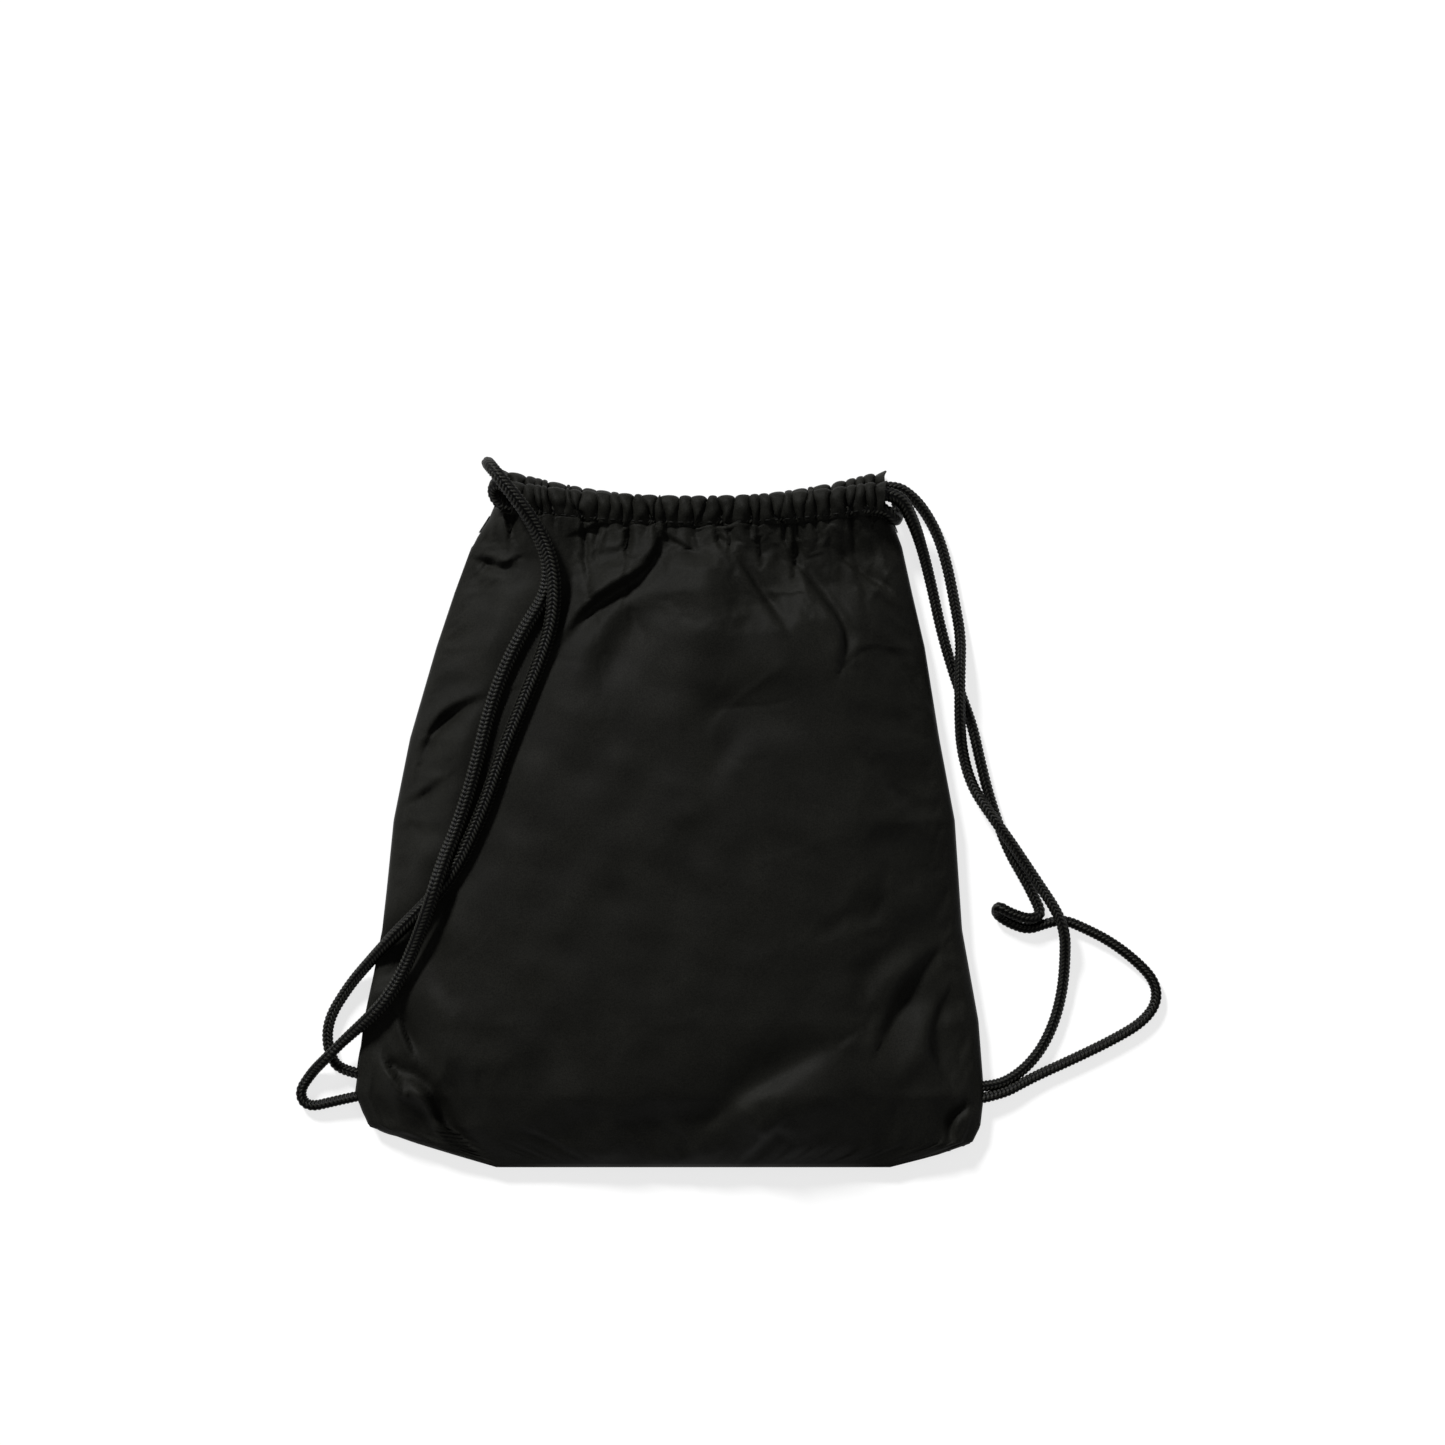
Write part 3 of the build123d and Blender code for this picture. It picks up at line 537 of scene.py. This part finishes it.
def loose_cloth(columns, rows):
    """How far a cloth that is a little too large for the front buckles up and down, by simulation."""
    x, y, share, top = panel_grid(SLACK_COLUMNS, SLACK_ROWS, FRONT_CASING["rise"], OVER_CASING)
    z = front_height(x, y, share, top) + 0.0003 * crumple(x, y, 0.050, 9)
    piece = grid_object("loose_cloth", np.stack([x, y, z], axis=-1))
    held = (np.abs(share) > SEWN_SHARE) | (y < BOTTOM_Y + SEWN_WIDTH) | (top - y < SEWN_WIDTH)
    sewn = piece.vertex_groups.new(name="sewn")
    sewn.add(np.flatnonzero(held.ravel()).tolist(), 1.0, "REPLACE")
    cloth = piece.modifiers.new("cloth", "CLOTH")
    cloth.settings.vertex_group_mass = "sewn"
    cloth.settings.quality = 6
    cloth.settings.mass = 0.15
    cloth.settings.tension_stiffness = 12
    cloth.settings.compression_stiffness = 12
    cloth.settings.shear_stiffness = 6
    cloth.settings.bending_stiffness = 0.4
    cloth.settings.shrink_min = -SLACK
    cloth.settings.effector_weights.gravity = 0
    cloth.point_cache.frame_end = SLACK_FRAMES
    for step in range(1, SLACK_FRAMES + 1):
        bpy.context.scene.frame_set(step)
    depsgraph = bpy.context.evaluated_depsgraph_get()
    settled = bpy.data.meshes.new_from_object(piece.evaluated_get(depsgraph), depsgraph=depsgraph)
    places = np.array([vertex.co[:] for vertex in settled.vertices]).reshape(*x.shape, 3)
    bpy.context.scene.frame_set(1)
    bpy.data.objects.remove(piece)
    bpy.data.meshes.remove(settled)
    moved = (places[:, :, 2] - z).clip(-SLACK_REACH, SLACK_REACH)
    row = np.linspace(0, SLACK_ROWS - 1, rows)
    column = np.linspace(0, SLACK_COLUMNS - 1, columns)
    along = np.stack([np.interp(row, np.arange(SLACK_ROWS), line) for line in moved.T], axis=1)
    return np.stack([np.interp(column, np.arange(SLACK_COLUMNS), line) for line in along])


def front_cloth():
    """The front panel: puffed, creased, and pleated where it is gathered into its casing."""
    columns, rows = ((205, 230))
    x, y, share, top = panel_grid(columns, rows, FRONT_CASING["rise"], OVER_CASING)
    z = front_height(x, y, share, top)
    z += loose_cloth(columns, rows)
    from_sides = ((1 - np.abs(share)) / 0.10).clip(0, 1)
    from_bottom = ((y - BOTTOM_Y) / 0.010).clip(0, 1)
    fade_in = (from_sides * from_bottom) ** 0.7
    z += (crease_height(x.ravel(), y.ravel()) + swell_height(x.ravel(), y.ravel())).reshape(x.shape) * fade_in
    upper = 0.25 + 0.75 * ((y - 0.02) / 0.10).clip(0, 1)
    uneven = 0.0003 * crumple(x, y, 0.028, 3) + 0.0012 * upper * crumple(x, y, 0.060, 4)
    ridges = 0.0012 * broken_lines(x, y, 0.080, 5, 3, 0.070, 7)
    furrows = 0.0009 * broken_lines(x, y, 0.050, 6, 4, 0.060, 10)
    z += fade_in * (uneven + upper * (ridges - furrows))
    z = np.maximum(lift_to_cords(x, y, z), SEAM_Z)
    return thicken(grid_object("front_cloth", np.stack([x, y, z], axis=-1)), offset=-1)


def lift_to_cords(x, y, z):
    """Brings the cloth softly to the underside of the left cord's strands that lie on it."""
    along_x, along_y, along_z = left_path.T
    on_bag = (along_z > CORD_ON_BAG_ABOVE) & (along_y < CORD_ON_BAG_BELOW_Y) & (along_x < 0)
    distance = np.full(z.shape, np.inf)
    lift = np.zeros_like(z)
    weight = np.full(z.shape, 1e-12)
    for px, py, pz in left_path[on_bag][::6]:
        # The lower strand weighs most where two lie one over the other
        spread = np.exp(-((x - px) ** 2 + (y - py) ** 2) / 0.009 ** 2 - (pz - 0.030) / 0.002)
        lift += spread * (pz - CORD_D / 2)
        weight += spread
        distance = np.minimum(distance, np.hypot(x - px, y - py))
    gap = (lift / weight - z).clip(-LIFT_DOWN, LIFT_UP)
    return z + gap * np.exp(-(distance / LIFT_WIDTH) ** 2)


def back_cloth():
    """The back panel, flat on the floor and turned up to the seams at its edges."""
    columns, rows = 120, 130
    x, y, share, top = panel_grid(columns, rows, BACK_CASING["rise"], UNDER_CASING)
    left, right, _height = outline(y)
    inside = np.minimum((1 - np.abs(share)) * (right - left) / 2, y - BOTTOM_Y)
    turn = (1 - inside / EDGE_TURN).clip(0, 1)
    waves = 1 + np.sin(x * 90 + np.sin(y * 60) * 2) * np.sin(y * 70 + x * 40)
    floor_gap = FLOOR_GAP + FLOOR_GAP * waves * (1 - turn)
    z = SEAM_Z - (SEAM_Z - floor_gap) * np.sqrt(1 - turn ** 2)
    return thicken(grid_object("back_cloth", np.stack([x, y, z], axis=-1)), offset=1)


# ---------------------------------------------------------------- casings

def casing_surface(x, angle, rise, middle_z, height, low_z):
    """Places on a gathered casing: angle runs round its section from the rim, a quarter turn to the top."""
    depth = CASING_DEPTH / 2
    cosine, sine = np.cos(angle), np.sin(angle)
    out = depth * np.sign(cosine) * np.abs(cosine) ** (2 / CASING_POWER)
    under = height / 2 * np.abs(sine) ** (2 / CASING_POWER)
    down = depth - out
    folds = gathers(x.ravel(), down.ravel()).reshape(x.shape)
    crown = casing_crown(down, folds, height)
    crown += 0.00022 * crumple(x, down, 0.0075, 8) * (crown / (0.4 * height)).clip(0, 1)
    y = arc_y(x, rise, 0) + out * np.where(out > 0, 1.10 - 0.27 * folds, 1.0)
    z = middle_z + np.where(sine > 0, crown, -under * (1.1 - 0.2 * folds))
    end = ((np.abs(x - CASING_MIDDLE_X) - CASING_HALF_SPAN + RAGGED_LENGTH) / RAGGED_LENGTH).clip(0, 1) ** 2
    ragged = 0.0008 + 0.0007 * np.sin(2 * angle + 0.8) + 0.0004 * np.sin(5 * angle)
    x = x + np.sign(x - CASING_MIDDLE_X) * end * ragged
    return x, y, np.maximum(z, low_z)


def casing(name, sizes):
    """A gathered casing as a thin open-ended sleeve, a little longer than its span."""
    columns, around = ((560, 64))
    left = CASING_MIDDLE_X - CASING_HALF_SPAN - LEFT_END
    right = CASING_MIDDLE_X + CASING_HALF_SPAN + RIGHT_END
    turns = np.arange(around) * 2 * math.pi / around
    x, angle = np.meshgrid(np.linspace(left, right, columns), turns, indexing="ij")
    sleeve = grid_object(name, np.stack(casing_surface(x, angle, **sizes), axis=-1), around=True)
    return thicken(sleeve, offset=0)


def stitches(name, sizes):
    """A row of thread stitches that follows the gathered cloth beside a casing's stitched edge."""
    vertices, faces = [], []
    half_depth = CASING_DEPTH / 2
    at_edge = math.pi - math.acos(((half_depth - STITCH_INSET) / half_depth) ** (CASING_POWER / 2))
    row_half = 0.97 * CASING_HALF_SPAN
    for centre in np.linspace(CASING_MIDDLE_X - row_half, CASING_MIDDLE_X + row_half, STITCH_COUNT):
        reach = np.linspace(-STITCH_HALF_LENGTH, STITCH_HALF_LENGTH, STITCH_RINGS)
        line = np.stack(casing_surface(centre + reach, np.full(STITCH_RINGS, at_edge), **sizes), axis=-1)
        girth = STITCH_RADIUS * np.sqrt(1 - (reach / STITCH_TIP) ** 2)
        first = len(vertices)
        for place, thick in zip(line, girth):
            for turn in range(STITCH_SIDES):
                a = 2 * math.pi * turn / STITCH_SIDES
                y = place[1] + thick * math.cos(a)
                z = place[2] + STITCH_LIFT + thick * math.sin(a)
                vertices.append((place[0], y, z))
        for ring in range(STITCH_RINGS - 1):
            row = first + ring * STITCH_SIDES
            for turn in range(STITCH_SIDES):
                a = row + turn
                b = row + (turn + 1) % STITCH_SIDES
                faces.append((a, b, b + STITCH_SIDES, a + STITCH_SIDES))
        last = first + (STITCH_RINGS - 1) * STITCH_SIDES
        faces.append([first + turn for turn in reversed(range(STITCH_SIDES))])
        faces.append([last + turn for turn in range(STITCH_SIDES)])
    mesh = bpy.data.meshes.new(name)
    mesh.from_pydata(vertices, [], faces)
    mesh.shade_smooth()
    return link(bpy.data.objects.new(name, mesh))


front = front_cloth()
back = back_cloth()
front_casing = casing("front_casing_cloth", FRONT_CASING)
back_casing = casing("back_casing_cloth", BACK_CASING)
front_stitches = stitches("front_casing_stitches", FRONT_CASING)
back_stitches = stitches("back_casing_stitches", BACK_CASING)


# ---------------------------------------------------------------- materials

def new_material(name, roughness, specular):
    """A material with its shader, ready for colour and relief."""
    material = bpy.data.materials.new(name)
    material.use_nodes = True
    nodes, links = material.node_tree.nodes, material.node_tree.links
    shader = nodes["Principled BSDF"]
    shader.inputs["Roughness"].default_value = roughness
    shader.inputs["Specular IOR Level"].default_value = specular
    return material, nodes, links, shader


def noise(nodes, links, place, scale, detail):
    """Procedural noise of that scale."""
    texture = nodes.new("ShaderNodeTexNoise")
    texture.inputs["Scale"].default_value = scale
    texture.inputs["Detail"].default_value = detail
    links.new(place, texture.inputs["Vector"])
    return texture.outputs["Fac"]


def colour_ramp(nodes, links, value, dark, light, dark_below, light_above):
    """A colour that goes from dark to light with a value."""
    ramp = nodes.new("ShaderNodeValToRGB")
    low, high = ramp.color_ramp.elements
    low.color = (*dark, 1)
    high.color = (*light, 1)
    low.position = dark_below
    high.position = light_above
    links.new(value, ramp.inputs["Fac"])
    return ramp.outputs["Color"]


def bump(nodes, links, value, strength, distance):
    """Relief from a value."""
    relief = nodes.new("ShaderNodeBump")
    relief.inputs["Strength"].default_value = strength
    relief.inputs["Distance"].default_value = distance
    links.new(value, relief.inputs["Height"])
    return relief


def woven_cloth(name, dark, light, thread_scale, relief):
    """Plain-woven polyester: drifting, grained colour, and fine threads both ways over soft crumple."""
    material, nodes, links, shader = new_material(name, 0.58, 0.06)
    place = nodes.new("ShaderNodeTexCoord").outputs["Object"]
    drift = colour_ramp(nodes, links, noise(nodes, links, place, 38, 6), dark, light, 0.35, 0.65)
    shade = nodes.new("ShaderNodeMapRange")
    shade.inputs["From Min"].default_value = 0.3
    shade.inputs["From Max"].default_value = 0.7
    shade.inputs["To Min"].default_value = 0.62
    shade.inputs["To Max"].default_value = 1.38
    links.new(noise(nodes, links, place, 1300, 2), shade.inputs["Value"])
    tint = nodes.new("ShaderNodeMix")
    tint.data_type = "RGBA"
    tint.blend_type = "MULTIPLY"
    tint.inputs["Factor"].default_value = 1.0
    links.new(drift, tint.inputs["A"])
    links.new(shade.outputs["Result"], tint.inputs["B"])
    links.new(tint.outputs["Result"], shader.inputs["Base Color"])
    waves = []
    for direction in ("X", "Y"):
        wave = nodes.new("ShaderNodeTexWave")
        wave.bands_direction = direction
        wave.inputs["Scale"].default_value = thread_scale
        wave.inputs["Distortion"].default_value = 0.6
        wave.inputs["Detail Scale"].default_value = 2.0
        links.new(place, wave.inputs["Vector"])
        waves.append(wave.outputs["Fac"])
    weave = nodes.new("ShaderNodeMath")
    weave.operation = "MULTIPLY"
    links.new(waves[0], weave.inputs[0])
    links.new(waves[1], weave.inputs[1])
    threads = bump(nodes, links, weave.outputs["Value"], 0.35, relief)
    soft = bump(nodes, links, noise(nodes, links, place, 85, 5), 0.25, 0.0008)
    links.new(threads.outputs["Normal"], soft.inputs["Normal"])
    links.new(soft.outputs["Normal"], shader.inputs["Normal"])
    return material


def yarn_with_painted_groove_shade(name, dark, light):
    """Braided polyester yarn with painted shade that darkens it in the grooves between the stitches, and the
    relief of fine filaments.
    """
    material, nodes, links, shader = new_material(name, 0.45, 0.10)
    braid_height = nodes.new("ShaderNodeAttribute")
    braid_height.attribute_name = "braid"
    # Painted shade: near black where the braid is low, in its grooves, rising to the yarn's colour on the backs
    # of the stitches.
    colour = colour_ramp(nodes, links, braid_height.outputs["Fac"], dark, light, 0.45, 0.85)
    links.new(colour, shader.inputs["Base Color"])
    place = nodes.new("ShaderNodeTexCoord").outputs["Object"]
    filaments = bump(nodes, links, noise(nodes, links, place, 2600, 3), 0.35, 0.0002)
    links.new(filaments.outputs["Normal"], shader.inputs["Normal"])
    return material


# Name, darkest and lightest colour, and for woven ones the scale of the threads and their relief
cloth_material = woven_cloth("bag_cloth", (0.0066, 0.0066, 0.0055), (0.0088, 0.0088, 0.0073), 900, 0.00012)
binding_material = woven_cloth("binding_tape", (0.0058, 0.0058, 0.005), (0.0075, 0.0075, 0.0064), 600, 0.0002)
# The cord's darkest colour is painted shade for the grooves of its braid.
cord_material = yarn_with_painted_groove_shade("braided_cord", (0.0002, 0.0002, 0.0002), (0.0185, 0.0185, 0.0152))
thread_material = woven_cloth("sewing_thread", (0.0085, 0.0085, 0.0078), (0.011, 0.011, 0.01), 1500, 0.0001)


def finish_with(piece, material):
    """Gives a piece its material."""
    piece.data.materials.clear()
    piece.data.materials.append(material)


for piece in (front, back, front_casing, back_casing):
    finish_with(piece, cloth_material)
for piece in (left_cord, right_cord):
    finish_with(piece, cord_material)
for piece in (front_stitches, back_stitches):
    finish_with(piece, thread_material)
KEPT_NODES = {
    "left_side_seam": binding_material, "right_side_seam": binding_material, "bottom_seam": binding_material,
    "left_anchor_tack": thread_material, "right_anchor_tack": thread_material, "mouth_tacks": thread_material,
}
for node, material in KEPT_NODES.items():
    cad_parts[node].data.materials.clear()
    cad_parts[node].data.materials.append(material)


# ---------------------------------------------------------------- what each piece rides on

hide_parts("front_panel", "front_lip")
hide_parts("back_panel")
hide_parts("front_casing")
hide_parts("back_casing")
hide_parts("front_casing_stitching")
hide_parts("back_casing_stitching")
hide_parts("left_cord_front_lower", "left_cord_front_upper", "left_cord_back_run",
            "left_cord_front_run", "left_cord_side_lower")
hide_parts("right_cord_outer_strand", "right_cord_front_run", "right_cord_inner_strand")
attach(back, "bag")
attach(back_casing, "bag")
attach(back_stitches, "bag")
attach(front_casing, "lip")
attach(front_stitches, "lip")
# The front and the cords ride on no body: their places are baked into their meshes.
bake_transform(front)
for cord in (left_cord, right_cord):
    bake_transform(cord)


# ---------------------------------------------------------------- floor and light

FLOOR_HALF = 4.0


def floor():
    """A plain pale floor."""
    half = FLOOR_HALF
    places = np.array([[(-half, -half, 0), (half, -half, 0)], [(-half, half, 0), (half, half, 0)]], float)
    plane = grid_object("floor", places)
    material, _nodes, _links, shader = new_material("pale_floor", 0.9, 0.02)
    shader.inputs["Base Color"].default_value = (0.30, 0.30, 0.30, 1)
    shader.inputs["Emission Color"].default_value = (1, 1, 1, 1)
    shader.inputs["Emission Strength"].default_value = 0.74
    plane.data.materials.append(material)


def soft_sun(name, aim, softness, strength):
    """A soft light from a long way off, shining along aim."""
    sun_data = bpy.data.lights.new(name, "SUN")
    sun_data.angle = math.radians(softness)
    sun_data.energy = strength
    sun = link(bpy.data.objects.new(name, sun_data))
    sun.rotation_euler = Vector(aim).to_track_quat("-Z", "Y").to_euler()


def studio_sky(at_horizon, above, fade_height):
    """White light from all round, strong at the horizon, which backs the floor, and dim above it."""
    world = bpy.data.worlds.new("studio")
    world.use_nodes = True
    nodes, links = world.node_tree.nodes, world.node_tree.links
    direction = nodes.new("ShaderNodeTexCoord").outputs["Generated"]
    split = nodes.new("ShaderNodeSeparateXYZ")
    fade = nodes.new("ShaderNodeMapRange")
    fade.inputs["From Max"].default_value = fade_height
    fade.inputs["To Min"].default_value = at_horizon
    fade.inputs["To Max"].default_value = above
    links.new(direction, split.inputs["Vector"])
    links.new(split.outputs["Z"], fade.inputs["Value"])
    links.new(fade.outputs["Result"], nodes["Background"].inputs["Strength"])
    nodes["Background"].inputs["Color"].default_value = (1, 1, 1, 1)
    bpy.context.scene.world = world


floor()
soft_sun("key", (0.42, -0.70, -0.56), 10, 4.4)
soft_sun("fill", (-0.5, 0.3, -0.9), 40, 0.25)
studio_sky(at_horizon=1.0, above=0.16, fade_height=0.12)
bpy.context.scene.view_settings.view_transform = "Standard"
